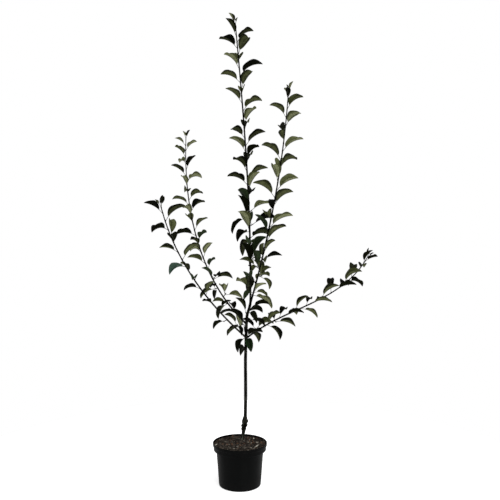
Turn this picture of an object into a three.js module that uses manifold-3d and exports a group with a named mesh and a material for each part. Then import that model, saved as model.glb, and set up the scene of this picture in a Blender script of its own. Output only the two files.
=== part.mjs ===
// A young dwarf apple tree in a moulded nursery pot: a slim grafted trunk, five limbs, and the leafy shoots
// and spurs that grow from them by a seeded rule. Millimetres, +Z up. The origin is the centre of the pot's
// flat underside, and +Y runs from the tree's front to its back.
import * as THREE from 'three';
import { mergeVertices } from 'three/addons/utils/BufferGeometryUtils.js';
import Module from 'manifold-3d';

const wasm = await Module();
wasm.setup();

// ---------------------------------------------------------------- driving dimensions

// The gap between two pieces that touch.
const CLEARANCE = 0.3;

// The pot tapers down from a stepped collar, and has drain holes in its floor.
const POT = {
  height: 175,
  rim: 112.5,
  rimDepth: 14,
  collar: 109,
  collarDepth: 30,
  shoulder: 98,
  foot: 87,
  footRound: 6,
  wall: 2.2,
  floor: 2.6,
  holes: 8,
  holeRadius: 6,
  holeRing: 64,
  holeSides: 12,
  sides: 40,
};

// The compost fills the pot to a watering gap below its rim.
const WATERING_GAP = 6;
const GROUND = POT.height - WATERING_GAP;

// The trunk's centreline from its flat cut on the compost to its fork, as [x, z] at one depth y, and its
// radius by height: a foot that flares into a few roots, a thick rootstock, the graft union, and a long stem.
const TRUNK = {
  y: 50,
  line: [
    [10, GROUND + CLEARANCE], [14, 202], [19, 235.5], [22, 265], [23.3, 337], [23.3, 422],
    [22.5, 507], [25, 601], [26.3, 652], [29.2, 699], [37.8, 724], [43.3, 745.5],
  ],
  girth: [[GROUND, 6.6], [196, 6.6], [217, 9.2], [247, 11], [272, 6.6], [746, 5.8]],
  flare: 3.4,
  flareHeight: 10,
  roots: 5,
  sides: 10,
  step: 15,
};

// Each limb leaves the trunk at a height, leans by so many degrees from upright at its foot, middle and tip,
// heads one way round the compass, and thins from one radius to another. The first share of it is older wood,
// which carries spurs, and the rest is a leafy shoot.
const LIMBS = {
  leader: { foot: 745.5, length: 1191, lean: [-0.9, 3.5, 5.3], turn: 185, radii: [3.9, 1.8],
    older: 0.347 },
  right_upper: { foot: 742.5, length: 895, lean: [20.8, 14.3, 4.8], turn: 316, radii: [3.4, 1.4],
    older: 0.311 },
  left_inner: { foot: 660.5, length: 958, lean: [58.1, 22, -2.8], turn: 140, radii: [3.3, 1.3],
    older: 0.336 },
  left_outer: { foot: 603.1, length: 682, lean: [50.8, 37.7, 15.6], turn: 214, radii: [3.3, 1.6],
    older: 0.367 },
  right_low: { foot: 598.9, length: 710, lean: [55.7, 68.6, 32.6], turn: 22.5, radii: [3.2, 1.6],
    older: 0.24 },
};
const LIMB_STEPS = 24;
const LIMB_RINGS = 12;
const LIMB_TAPER = 0.65;
const LIMB_SIDES = 6;

// A full-grown leaf: its stalk sags by so many degrees, and its blade arches over by so many and is folded up
// by so many along its midrib.
const LEAF = {
  length: 76,
  width: 48,
  thick: 1.1,
  stalk: 22,
  stalkRadius: 1.1,
  sag: 4,
  arch: 54,
  fold: 45,
};

// How far the throws shift a leaf's pose, in degrees, and its size and its gap to the next, as shares.
const SHIFT = { round: 14, spread: 9, pitch: 8, arch: 16, fold: 9, roll: 28, size: 0.15, gap: 0.12 };

// The share of a shoot at its end that is young, and how much of each value its last leaf loses, or gains as
// fold.
const YOUNG = { share: 0.14, spread: 0.4, size: 0.5, arch: 0.55, gap: 0.6, fold: 12 };

// The shares of a blade's length that its rings of points lie at. The second list is closer together, and is
// for testing how much room a leaf has.
const BLADE_RINGS = [0.14, 0.46, 0.8];
const TEST_RINGS = [0.06, 0.18, 0.3, 0.42, 0.54, 0.66, 0.78, 0.9];

// Leaves and spurs wind round their wood by two turns to every five.
const TURN = 144;

// A leaf that would come closer than this to another leaf, to a spur's tip or to the wood isn't grown, nor is
// a spur whose tip would come this close to any leaf or wood.
const LEAF_SPACE = 7.5;
const WOOD_SPACE = 6.5;
const SPUR_SPACE = 8;
const WOOD_STEP = 6;

// How a shoot sets its leaves: the first leaf and the gap from leaf to leaf along it, the angle that the
// stalks make with it, their pull upwards, the leaf size, and how much larger leaves are towards the tip.
const SHOOTS = {
  leader: { seed: 6983, phase: 230, hand: -1, first: 4, gap: 29.5, spread: 43,
    lift: 0.38, size: 1.08, swell: 0.07 },
  right_upper: { seed: 4567, phase: 321, hand: -1, first: 4, gap: 32, spread: 46,
    lift: 0.45, size: 1.08, swell: -0.1 },
  left_inner: { seed: 6123, phase: 34, hand: 1, first: 4, gap: 29.3, spread: 53,
    lift: 0.45, size: 0.96, swell: -0.05 },
  left_outer: { seed: 7034, phase: 16, hand: 1, first: 22, gap: 34.9, spread: 48,
    lift: 0.19, size: 0.93, swell: 0.31 },
  right_low: { seed: 4843, phase: 177, hand: 1, first: 6, gap: 27.1, spread: 43,
    lift: 0.45, size: 0.97, swell: 0.32 },
};

// The stretch of wood that carries spurs, as shares of its length, how far apart the spurs stand, and the
// least and most leaves on each.
const SPURS = {
  leader: { from: 0.03, to: 0.337, seed: 6294, phase: 34, hand: 1, gap: 29.3, lift: 0.02,
    size: 1.15, leaves: [1, 3] },
  right_upper: { from: 0.062, to: 0.3, seed: 3677, phase: 272, hand: -1, gap: 37.8, lift: 0.3,
    size: 0.8, leaves: [2, 3] },
  left_inner: { from: 0.083, to: 0.326, seed: 2417, phase: 78, hand: 1, gap: 47.4, lift: 0.1,
    size: 0.81, leaves: [2, 3] },
  left_outer: { from: 0.102, to: 0.357, seed: 4757, phase: 352, hand: -1, gap: 49.2, lift: 0,
    size: 0.71, leaves: [1, 4] },
  right_low: { from: 0.08, to: 0.23, seed: 905, phase: 170, hand: 1, gap: 46.2, lift: 0.34,
    size: 0.92, leaves: [2, 3] },
  trunk: { from: 0.597, to: 0.969, seed: 432, phase: 106, hand: 1, gap: 26.1, lift: 0.03,
    size: 0.91, leaves: [1, 4] },
};
const SPUR = { radius: 1.9, sides: 5, length: [9, 17], slant: 0.6, spread: 50 };

// ---------------------------------------------------------------- solids

const { degToRad, radToDeg, clamp, lerp, smoothstep } = THREE.MathUtils;
const CENTRE = new THREE.Vector3(0, 0, 0);
const UP = new THREE.Vector3(0, 0, 1);

function solidOf(vertices, triangles) {
  const mesh = new wasm.Mesh({
    numProp: 3,
    vertProperties: new Float32Array(vertices),
    triVerts: new Uint32Array(triangles),
  });
  return new wasm.Manifold(mesh);
}

// A round solid from its half-section, a list of [radius, height] that starts and ends on its axis.
function turned(profile) {
  const lathe = new THREE.LatheGeometry(profile.map(([r, z]) => new THREE.Vector2(r, z)), POT.sides);
  lathe.rotateX(Math.PI / 2);
  lathe.deleteAttribute('normal');
  lathe.deleteAttribute('uv');
  const merged = mergeVertices(lathe, 1e-4);
  return solidOf(merged.attributes.position.array, merged.index.array);
}

// A solid whose skin runs through rings of points, all wound the same way round its length. A ring of one
// point is a tip, and a first or last ring of more points is closed flat.
function loft(rings) {
  const vertices = rings.flat().flatMap((p) => p.toArray());
  const triangles = [];
  let start = 0;
  for (let r = 0; r + 1 < rings.length; r += 1) {
    const sides = rings[r].length;
    const next = start + sides;
    for (let i = 0; i < sides; i += 1) {
      const j = (i + 1) % sides;
      if (rings[r + 1].length === 1) {
        triangles.push(start + i, start + j, next);
      } else {
        triangles.push(start + i, start + j, next + j, start + i, next + j, next + i);
      }
    }
    start = next;
  }
  for (let i = 1; i + 1 < rings[0].length; i += 1) triangles.push(0, i + 1, i);
  for (let i = 1; i + 1 < rings.at(-1).length; i += 1) triangles.push(start, start + i, start + i + 1);
  return solidOf(vertices, triangles);
}

// start plus each vector times its number, such as sum(start, side, 2, up, 3).
function sum(start, ...terms) {
  const total = start.clone();
  for (let i = 0; i < terms.length; i += 2) total.addScaledVector(terms[i], terms[i + 1]);
  return total;
}

// The direction square to an axis that is so many degrees round it, from as near +X as it can be.
function around(axis, degrees) {
  const aim = Math.abs(axis.x) < 0.9 ? new THREE.Vector3(1, 0, 0) : UP;
  const first = sum(aim, axis, -axis.dot(aim)).normalize();
  const second = axis.clone().cross(first);
  const angle = degToRad(degrees);
  return sum(CENTRE, first, Math.cos(angle), second, Math.sin(angle));
}

// A ring of points round a centre, where radius is a number or a function of the angle in degrees.
function ring(centre, axis, radius, sides) {
  return Array.from({ length: sides }, (_, i) => {
    const angle = (360 * i) / sides;
    return sum(centre, around(axis, angle), typeof radius === 'number' ? radius : radius(angle));
  });
}

// A cut can leave scraps behind the cutter: the largest piece is the one that is kept.
function largest(solid) {
  return solid.decompose().reduce((best, piece) => (piece.volume() > best.volume() ? piece : best));
}

// ---------------------------------------------------------------- pot and compost

function makePot() {
  const { height, rim, collar, shoulder, foot, footRound, wall, floor } = POT;
  const collarTop = height - POT.rimDepth;
  const collarFoot = height - POT.collarDepth;
  const outside = [
    [0, 0], [foot - footRound, 0], [foot - footRound * 0.3, footRound * 0.3], [foot, footRound],
    [shoulder, collarFoot], [collar, collarFoot], [collar, collarTop], [rim, collarTop + wall], [rim, height],
  ];
  const inside = [
    [rim - wall, height], [collar - wall, collarTop], [collar - wall, collarFoot + wall],
    [shoulder - wall, collarFoot], [foot - wall, footRound], [foot - footRound, floor], [0, floor],
  ];
  const shell = turned([...outside, ...inside]);
  const holes = Array.from({ length: POT.holes }, (_, i) => {
    const centre = sum(CENTRE, around(UP, (360 * i) / POT.holes), POT.holeRing);
    return loft([-1, floor + 1].map((z) => ring(sum(centre, UP, z), UP, POT.holeRadius, POT.holeSides)));
  });
  return holes.reduce((pot, hole) => pot.subtract(hole), shell);
}

function makeCompost() {
  const { height, rim, rimDepth, collar, collarDepth, shoulder, foot, footRound, wall, floor } = POT;
  const gap = wall + CLEARANCE;
  const collarFoot = height - collarDepth;
  return turned([
    [0, floor + CLEARANCE], [foot - footRound - gap, floor + CLEARANCE], [foot - gap, footRound + gap],
    [shoulder - gap, collarFoot], [collar - gap, collarFoot + gap], [collar - gap, height - rimDepth],
    [lerp(rim, collar, WATERING_GAP / rimDepth) - gap, GROUND], [0, GROUND],
  ]);
}

// ---------------------------------------------------------------- wood

// A line through points, followed by t from 0 at its foot to 1 at its tip.
class Line {
  constructor(points) {
    this.points = points;
    this.length = points.slice(1).reduce((total, p, i) => total + p.distanceTo(points[i]), 0);
  }

  at(t) {
    const place = clamp(t, 0, 1) * (this.points.length - 1);
    const i = Math.min(Math.floor(place), this.points.length - 2);
    return this.points[i].clone().lerp(this.points[i + 1], place - i);
  }

  along(t) {
    const half = 0.5 / (this.points.length - 1);
    return this.at(t + half).sub(this.at(t - half)).normalize();
  }

  // Evenly spaced points, no further apart than step.
  dense(step) {
    const count = Math.ceil(this.length / step);
    return Array.from({ length: count + 1 }, (_, i) => this.at(i / count));
  }
}
const trunkLine = new Line(TRUNK.line.map(([x, z]) => new THREE.Vector3(x, TRUNK.y, z)));
trunkLine.radiusAt = () => TRUNK.girth.at(-1)[1] + CLEARANCE;

function trunkAt(height) {
  const i = trunkLine.points.findIndex((p) => p.z >= height);
  const [low, high] = [trunkLine.points[Math.max(i - 1, 0)], trunkLine.points[i]];
  return low.clone().lerp(high, (height - low.z) / (high.z - low.z || 1));
}

// The trunk's radius at a height, which passes smoothly from each value of its girth to the next.
function girthAt(height) {
  const i = TRUNK.girth.findIndex(([level]) => level >= height);
  const [[low, start], [high, end]] = TRUNK.girth.slice(i - 1, i + 1);
  return lerp(start, end, smoothstep(height, low, high));
}

// The trunk, or what keeps clear of it when it is grown by a margin.
function makeTrunk(margin = 0) {
  const foot = trunkLine.points[0].z;
  const top = trunkLine.points.at(-1).z;
  const count = Math.round((top - foot) / TRUNK.step);
  const rings = Array.from({ length: count + 1 }, (_, i) => {
    const height = lerp(foot, top, i / count);
    const flare = TRUNK.flare * Math.exp(-(height - foot) / TRUNK.flareHeight);
    const plain = girthAt(height) + margin;
    const radius = (angle) => plain + flare * (0.7 + 0.3 * Math.cos(degToRad(TRUNK.roots * angle)));
    return ring(trunkAt(height), UP, radius, TRUNK.sides);
  });
  if (margin > 0) rings.push(rings.at(-1).map((p) => sum(p, UP, margin)));
  return loft(rings);
}

// A value that passes through three others at its start, middle and end.
function through([start, middle, end], t) {
  return start * (2 * t - 1) * (t - 1) + middle * 4 * t * (1 - t) + end * t * (2 * t - 1);
}

function growLimb({ foot, length, lean, turn, radii: [thick, thin], older }) {
  const points = [trunkAt(foot)];
  for (let i = 0; i < LIMB_STEPS; i += 1) {
    const tilt = degToRad(through(lean, (i + 0.5) / LIMB_STEPS));
    const out = sum(CENTRE, around(UP, turn), Math.sin(tilt), UP, Math.cos(tilt));
    points.push(sum(points.at(-1), out, length / LIMB_STEPS));
  }
  const limb = new Line(points);
  limb.older = older;
  limb.radiusAt = (t) => thin + (thick - thin) * (1 - t) ** LIMB_TAPER;
  return limb;
}

// The limb's solid from one share of its length to another, or what keeps clear of it.
function limbSolid(limb, from, to, margin = 0) {
  const count = Math.ceil((to - from) * LIMB_RINGS);
  const rings = Array.from({ length: count + 1 }, (_, i) => {
    const t = lerp(from, to, i / count);
    return ring(limb.at(t), limb.along(t), limb.radiusAt(t) + margin, LIMB_SIDES);
  });
  return loft(rings);
}

// ---------------------------------------------------------------- leaves

// One fixed run of throws for each seed.
class Dice {
  constructor(seed) {
    this.state = seed;
    for (let i = 0; i < 3; i += 1) this.roll();
  }

  roll() {
    this.state = (this.state * 16807) % 2147483647;
    return this.state / 2147483647;
  }

  spread(half) {
    return (this.roll() * 2 - 1) * half;
  }
}

// A leaf's place and pose: its stalk leaves the wood's axis towards one side, and is pulled upwards. A young
// leaf, near a shoot's tip, is smaller, steeper, straighter and more folded.
function throwLeaf(dice, root, axis, side, { spread, lift, size, young }) {
  const tilt = degToRad((spread + dice.spread(SHIFT.spread)) * (1 - YOUNG.spread * young));
  const aim = sum(CENTRE, axis, Math.cos(tilt), side, Math.sin(tilt), UP, lift).normalize();
  return {
    root,
    heading: Math.atan2(aim.y, aim.x),
    pitch: radToDeg(Math.asin(aim.z)) + dice.spread(SHIFT.pitch) - LEAF.sag,
    size: size * (1 + dice.spread(SHIFT.size)) * (1 - YOUNG.size * young),
    arch: (LEAF.arch + dice.spread(SHIFT.arch)) * (1 - YOUNG.arch * young),
    fold: degToRad(LEAF.fold + dice.spread(SHIFT.fold) + YOUNG.fold * young),
    roll: dice.spread(SHIFT.roll),
  };
}

// The stations along a leaf: the midrib's place there, the directions to the side and up, and the half-width.
// The stalk runs straight, then the midrib arches over, while the blade rolls a little about it.
function leafStations({ root, heading, pitch, size, arch, roll }, shares = BLADE_RINGS) {
  const length = LEAF.length * size;
  const stalk = LEAF.stalk * (0.5 + 0.5 * size);
  const bend = 0.6 * stalk;
  const level = new THREE.Vector3(-Math.sin(heading), Math.cos(heading), 0);
  const aimAt = (s) => {
    const angle = degToRad(pitch - (arch * Math.max(0, s - bend)) / (stalk + length - bend));
    const flat = Math.cos(angle);
    return new THREE.Vector3(flat * Math.cos(heading), flat * Math.sin(heading), Math.sin(angle));
  };
  const stops = [0, stalk, ...shares.map((share) => stalk + share * length), stalk + length];
  let centre = root;
  return stops.map((s, i) => {
    const last = i > 0 ? stops[i - 1] : 0;
    centre = sum(centre, aimAt((s + last) / 2), s - last);
    const aim = aimAt(s);
    const turn = degToRad(roll * Math.min(1, s / stalk));
    const side = sum(CENTRE, level, Math.cos(turn), aim.clone().cross(level), Math.sin(turn));
    const share = shares[i - 2];
    const width = share ? Math.sin(Math.PI * share ** 0.92) ** 0.65 * LEAF.width * size : 0;
    return { centre, side, up: aim.cross(side), half: width / 2 };
  });
}

// A point across a station's folded blade, from -1 at one edge to 1 at the other.
function acrossBlade({ centre, side, up, half }, fold, place) {
  return sum(centre, side, Math.cos(fold) * half * place, up, Math.sin(fold) * half * Math.abs(place));
}

// The points of a leaf that are tested for room: its stalk's end, all over its blade, and its tip.
function leafPoints(leaf) {
  return leafStations(leaf, TEST_RINGS).slice(1).flatMap((station) => {
    const places = station.half > 0 ? [-1, -0.5, 0, 0.5, 1] : [0];
    return places.map((place) => acrossBlade(station, leaf.fold, place));
  });
}

function leafSolid(leaf) {
  const stations = leafStations(leaf);
  const tip = stations.pop();
  const rings = stations.map((station) => {
    const { centre, side, up, half } = station;
    if (half === 0) {
      const r = LEAF.stalkRadius;
      return [sum(centre, side, r), sum(centre, up, r), sum(centre, side, -r), sum(centre, up, -r)];
    }
    const [left, right] = [acrossBlade(station, leaf.fold, 1), acrossBlade(station, leaf.fold, -1)];
    return [left, sum(centre, up, LEAF.thick / 2), right, sum(centre, up, -LEAF.thick / 2)];
  });
  return loft([...rings, [tip.centre]]);
}

// ---------------------------------------------------------------- growth

// The leaves of a shoot, with the young ones in its last stretch.
function shootLeaves(limb, { seed, phase, hand, first, gap, spread, lift, size, swell }) {
  const dice = new Dice(seed);
  const length = limb.length * (1 - limb.older);
  const leaves = [];
  let s = first;
  while (s < length - 2) {
    const share = s / length;
    const t = lerp(limb.older, 1, share);
    const young = Math.max(0, 1 - (1 - share) / YOUNG.share);
    const axis = limb.along(t);
    const side = around(axis, phase + hand * TURN * leaves.length + dice.spread(SHIFT.round));
    const root = sum(limb.at(t), side, limb.radiusAt(t) * 0.5);
    const pose = { spread, lift, size: size * (1 + swell * (share - 0.5)), young };
    leaves.push(throwLeaf(dice, root, axis, side, pose));
    s += gap * (1 + dice.spread(SHIFT.gap)) * (1 - YOUNG.gap * young);
  }
  return leaves;
}

// The spurs along a stretch of older wood: each is a short stem with a rosette of leaves.
function growSpurs(wood, { from, to, seed, phase, hand, gap, lift, size, leaves: [least, most] }) {
  const dice = new Dice(seed);
  const spurs = [];
  let s = 0;
  while (s < wood.length * (to - from)) {
    const t = from + s / wood.length;
    const side = around(wood.along(t), phase + hand * TURN * spurs.length + dice.spread(SHIFT.round));
    const axis = sum(side, wood.along(t), SPUR.slant).normalize();
    const count = least + Math.floor(dice.roll() * (most - least + 1));
    const stem = lerp(...SPUR.length, dice.roll());
    const turn = dice.roll() * 360;
    const foot = sum(wood.at(t), side, wood.radiusAt(t));
    const leaves = Array.from({ length: count }, (_, k) => {
      const root = sum(foot, axis, stem * (0.5 + (0.4 * k) / count));
      const leafSide = around(axis, turn + hand * TURN * k + dice.spread(SHIFT.round));
      return throwLeaf(dice, root, axis, leafSide, { spread: SPUR.spread, lift, size, young: 0 });
    });
    spurs.push({ start: wood.at(t), end: sum(foot, axis, stem), leaves });
    s += gap * (1 + dice.spread(SHIFT.gap));
  }
  return spurs;
}

// Space that is taken already: by the wood, and by each leaf grown so far.
const woodPoints = [];
const grownPoints = [];

function isNear(point, others, space) {
  return others.some((other) => point.distanceTo(other) < space);
}

function growLeaves(leaves) {
  return leaves.filter((leaf) => {
    const points = leafPoints(leaf);
    const isCrowded = (p) => isNear(p, woodPoints, WOOD_SPACE) || isNear(p, grownPoints, LEAF_SPACE);
    const crowded = points.some(isCrowded);
    if (!crowded) grownPoints.push(...points);
    return !crowded;
  });
}

// ---------------------------------------------------------------- the tree

const tree = new THREE.Group();

function addPiece(name, solid, { color, roughness }) {
  const { vertProperties, triVerts } = solid.getMesh();
  const geometry = new THREE.BufferGeometry();
  geometry.setAttribute('position', new THREE.BufferAttribute(new Float32Array(vertProperties), 3));
  geometry.setIndex(new THREE.BufferAttribute(new Uint32Array(triVerts), 1));
  geometry.computeVertexNormals();
  const mesh = new THREE.Mesh(geometry, new THREE.MeshStandardMaterial({ color, roughness, metalness: 0 }));
  mesh.name = name;
  tree.add(mesh);
}

const FINISH = {
  pot: { color: 0x131414, roughness: 0.5 },
  compost: { color: 0x362f28, roughness: 0.95 },
  bark: { color: 0x3a3a32, roughness: 0.8 },
  foliage: { color: 0x3f4a2c, roughness: 0.55 },
};

addPiece('pot', makePot(), FINISH.pot);
addPiece('compost', makeCompost(), FINISH.compost);
addPiece('trunk', makeTrunk(), FINISH.bark);

// The boughs are cut clear of the trunk, and the side ones of the leader, whose foot is beside theirs.
const limbs = Object.fromEntries(Object.entries(LIMBS).map(([name, sizes]) => [name, growLimb(sizes)]));
const { leader, ...sideLimbs } = limbs;
const trunkSpace = makeTrunk(CLEARANCE);
const leaderSpace = limbSolid(leader, 0, leader.older, CLEARANCE);
addPiece('leader', largest(limbSolid(leader, 0, leader.older).subtract(trunkSpace)), FINISH.bark);
for (const [name, limb] of Object.entries(sideLimbs)) {
  const bough = limbSolid(limb, 0, limb.older).subtract(trunkSpace).subtract(leaderSpace);
  addPiece(`${name}_bough`, largest(bough), FINISH.bark);
}

const wood = { ...limbs, trunk: trunkLine };
Object.values(wood).forEach((line) => woodPoints.push(...line.dense(WOOD_STEP)));

// A shoot's stem starts clear of its bough's tip, and its leaves are fused to it.
for (const [name, limb] of Object.entries(limbs)) {
  const stem = limbSolid(limb, limb.older + CLEARANCE / limb.length, 1);
  const leaves = growLeaves(shootLeaves(limb, SHOOTS[name]));
  addPiece(`${name}_shoot`, leaves.reduce((all, leaf) => all.add(leafSolid(leaf)), stem), FINISH.foliage);
}

// A spur's stem starts inside the wood that carries it, and is cut clear of all the wood.
const woodSpace = Object.values(limbs).reduce(
  (space, limb) => space.add(limbSolid(limb, 0, 1, CLEARANCE)),
  trunkSpace,
);
for (const [name, rule] of Object.entries(SPURS)) {
  let count = 0;
  for (const { start, end, leaves } of growSpurs(wood[name], rule)) {
    const isCrowded = isNear(end, woodPoints, SPUR_SPACE) || isNear(end, grownPoints, LEAF_SPACE);
    const grown = isCrowded ? [] : growLeaves(leaves);
    if (grown.length > 0) {
      grownPoints.push(end);
      const axis = end.clone().sub(start).normalize();
      const stem = loft([start, end].map((centre) => ring(centre, axis, SPUR.radius, SPUR.sides)));
      const spur = grown.reduce((all, leaf) => all.add(leafSolid(leaf)), stem).subtract(woodSpace);
      count += 1;
      addPiece(`${name}_spur_${count}`, largest(spur), FINISH.foliage);
    }
  }
}

export default tree;
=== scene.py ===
# A young dwarf apple tree in a black nursery pot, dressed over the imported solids. Sizes are in millimetres in
# the solids' own frame, and become metres where Shape makes an object of them.
import math

import bpy
import numpy as np
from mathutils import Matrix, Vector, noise


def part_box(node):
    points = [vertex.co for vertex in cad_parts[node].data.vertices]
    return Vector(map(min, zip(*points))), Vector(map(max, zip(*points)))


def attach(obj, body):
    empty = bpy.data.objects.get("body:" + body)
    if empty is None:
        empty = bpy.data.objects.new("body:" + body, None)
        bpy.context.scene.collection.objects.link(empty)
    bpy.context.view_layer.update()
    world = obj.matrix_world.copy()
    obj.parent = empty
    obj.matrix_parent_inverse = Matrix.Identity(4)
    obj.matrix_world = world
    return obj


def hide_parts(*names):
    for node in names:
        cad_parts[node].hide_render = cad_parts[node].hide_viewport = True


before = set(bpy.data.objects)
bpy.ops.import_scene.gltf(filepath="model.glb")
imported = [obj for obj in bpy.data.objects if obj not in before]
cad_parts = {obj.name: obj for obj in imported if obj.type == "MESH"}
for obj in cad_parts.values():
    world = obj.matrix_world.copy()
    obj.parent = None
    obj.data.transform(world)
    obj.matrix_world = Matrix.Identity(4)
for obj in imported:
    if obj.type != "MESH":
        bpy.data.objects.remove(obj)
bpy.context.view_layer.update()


# ------------------------------------------------------------------------------ the pot
# The pot is black polypropylene, injection moulded in one piece: a tapered body under a stepped collar,
# a lip, and a flat floor pierced by drain holes. It came off a nursery bench, so it is scuffed and dusty.
class Shape:
    """Points in millimetres and the faces over them, gathered part by part and made into one object."""

    def __init__(self):
        self.points = []
        self.faces = []
        self.finishes = []
        self.count = 0

    def loft(self, rings, finish=0):
        """A closed skin through rings of points that run anticlockwise round its length."""
        rows, sides = rings.shape[:2]
        grid = self.count + np.arange(rows * sides).reshape(rows, sides)
        beside = np.roll(grid, -1, axis=1)
        quads = np.stack([grid[:-1], beside[:-1], beside[1:], grid[1:]], axis=-1).reshape(-1, 4)
        skin = np.broadcast_to(finish, (rows - 1, sides))
        self.points.append(rings.reshape(-1, 3))
        self.faces += [*quads.tolist(), grid[0, ::-1].tolist(), grid[-1].tolist()]
        self.finishes += [*skin.ravel().tolist(), int(skin[0, 0]), int(skin[-1, 0])]
        self.count += rows * sides

    def build(self, name, *finishes):
        """One smooth object in metres, whose faces take their finishes by number."""
        mesh = bpy.data.meshes.new(name)
        mesh.from_pydata(np.concatenate(self.points) / 1000, [], self.faces)
        for finish in finishes:
            mesh.materials.append(finish.material)
        mesh.polygons.foreach_set("material_index", self.finishes)
        mesh.shade_smooth()
        piece = bpy.data.objects.new(name, mesh)
        bpy.context.collection.objects.link(piece)
        return piece


class Value:
    """A shader socket that takes part in plain arithmetic."""

    def __init__(self, finish, socket):
        self.finish = finish
        self.socket = socket

    def math(self, operation, *terms):
        return self.finish.node("Math", {"operation": operation}, *terms)

    def __add__(self, other):
        return self.math("ADD", self, other)

    def __sub__(self, other):
        return self.math("SUBTRACT", self, other)

    def __rsub__(self, other):
        return self.math("SUBTRACT", other, self)

    def __mul__(self, other):
        return self.math("MULTIPLY", self, other)

    __radd__, __rmul__ = __add__, __mul__


class Finish:
    """A material on one Principled shader, whose uniform sockets are given by name."""

    def __init__(self, name, **sockets):
        self.material = bpy.data.materials.new(name)
        self.material.use_nodes = True
        self.tree = self.material.node_tree
        self.shader = self.tree.nodes["Principled BSDF"]
        self.wear(**sockets)
        self.place = self.node("TexCoord", output="Object")

    def feed(self, socket, value):
        """Links a socket to a value, or sets it to a number, a vector or a colour."""
        if isinstance(value, Value):
            self.tree.links.new(value.socket, socket)
        else:
            socket.default_value = (*value, 1) if socket.type == "RGBA" else value

    def wear(self, **sockets):
        """Feeds the shader's own sockets."""
        for name, value in sockets.items():
            self.feed(self.shader.inputs[name.replace("_", " ").title().replace("Ior", "IOR")], value)

    def node(self, kind, settings=None, *values, output=None, **sockets):
        """A node with its settings made first, then its sockets fed in order or by name."""
        node = self.tree.nodes.new("ShaderNode" + kind)
        for name, value in (settings or {}).items():
            setattr(node, name, value)
        used = [socket for socket in node.inputs if socket.enabled]
        for socket, value in zip(used, values):
            self.feed(socket, value)
        for name, value in sockets.items():
            self.feed(next(s for s in used if s.name.lower() == name.replace("_", " ")), value)
        made = [socket for socket in node.outputs if socket.enabled and output in (None, socket.name)]
        return Value(self, made[0])

    def mix(self, share, first, second):
        """One colour passing into another."""
        return self.node("Mix", {"data_type": "RGBA"}, factor=share, a=first, b=second)

    def height(self):
        """How many metres a place on the surface is above the ground."""
        return self.node("SeparateXYZ", None, self.place, output="Z")

    def grain(self, scale, detail, stretch=(1, 1, 1)):
        """Noise of so many features to the metre, from 0 to 1, stretched along the axes."""
        place = self.node("VectorMath", {"operation": "MULTIPLY"}, self.place, stretch)
        return self.node("TexNoise", None, vector=place, scale=scale, detail=detail)

    def above(self, value, low, high):
        """0 where the value is under low, 1 where it is over high."""
        return self.node("MapRange", None, value, low, high, 0, 1)

    def bump(self, height, depth):
        """A normal for a height from 0 to 1 that is so many metres deep."""
        return self.node("Bump", None, height=height, distance=depth)


def unit(vector):
    return vector / np.linalg.norm(vector)


def rounded(corners, steps=5):
    """The outline through corners of (radius, height, rounding)."""
    outline = []
    spots = np.array(corners, float)
    for i, (*spot, rounding) in enumerate(corners):
        spot = np.array(spot, float)
        if rounding == 0:
            outline.append(spot)
            continue
        start = spot + unit(spots[i - 1, :2] - spot) * rounding
        end = spot + unit(spots[i + 1, :2] - spot) * rounding
        for t in np.linspace(0, 1, steps):
            outline.append(start * (1 - t) ** 2 + spot * 2 * t * (1 - t) + end * t**2)
    return np.array(outline)


def revolved(outline, sides, oval=0.0):
    """Rings round the Z axis through an outline, a little oval where a thin wall has warped."""
    turn = np.linspace(0, 2 * math.pi, sides, endpoint=False)
    radius = outline[:, :1] * (1 - oval * (1 - np.cos(2 * turn)) / 2)
    height = np.repeat(outline[:, 1:], sides, axis=1)
    return np.stack([radius * np.cos(turn), radius * np.sin(turn), height], axis=-1)


RIM, _, POT_HEIGHT = (1000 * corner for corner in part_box("pot")[1])
COLLAR = RIM - 3.5
SHOULDER = RIM - 14.5
FOOT = RIM - 25.5
COLLAR_TOP = POT_HEIGHT - 14
COLLAR_FOOT = POT_HEIGHT - 30
WALL = 2.2
FLOOR = 2.6
HUB = 4
WARP = 0.004
POT_SIDES = 144
DRAIN = {"count": 8, "radius": 6, "ring": 64, "sides": 24, "past": 2}

pot_outside = [
    (HUB, 0, 0), (FOOT, 0, 6), (FOOT + 0.4, 8, 1), (SHOULDER, COLLAR_FOOT, 2), (COLLAR, COLLAR_FOOT, 2),
    (COLLAR, COLLAR_TOP, 1), (RIM, COLLAR_TOP + WALL, 1.2), (RIM, POT_HEIGHT, 1),
]
pot_inside = [
    (RIM - WALL, POT_HEIGHT, 1), (RIM - WALL, COLLAR_TOP + 1, 1), (COLLAR - WALL, COLLAR_TOP, 1),
    (COLLAR - WALL, COLLAR_FOOT + WALL, 1), (SHOULDER - WALL, COLLAR_FOOT, 1), (FOOT - WALL, 8, 4),
    (FOOT - 8, FLOOR, 2), (HUB, FLOOR, 0),
]
pot_shape = Shape()
pot_shape.loft(revolved(rounded(pot_outside + pot_inside), POT_SIDES, WARP))

plastic = Finish("black_polypropylene", specular_ior_level=0.03)
speckle = plastic.grain(900, 2)
scuff = plastic.above(plastic.grain(28, 6, (1, 1, 0.35)), 0.5, 0.72)
dust = (1 - plastic.above(plastic.height(), 0.0, 0.05)) * plastic.grain(60, 5)
splash = plastic.above(plastic.height(), 0.15, 0.18) * plastic.above(plastic.grain(110, 5), 0.45, 0.75)
dusty = plastic.mix(0.2 * scuff + 0.3 * dust, (0.0016, 0.0018, 0.0018), (0.010, 0.010, 0.0095))
plastic.wear(
    base_color=plastic.mix(0.25 * splash, dusty, (0.014, 0.012, 0.010)),
    roughness=0.42 + 0.25 * scuff + 0.12 * speckle,
    normal=plastic.bump(speckle * 0.6 + scuff * 0.4, 0.0002),
)

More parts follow.
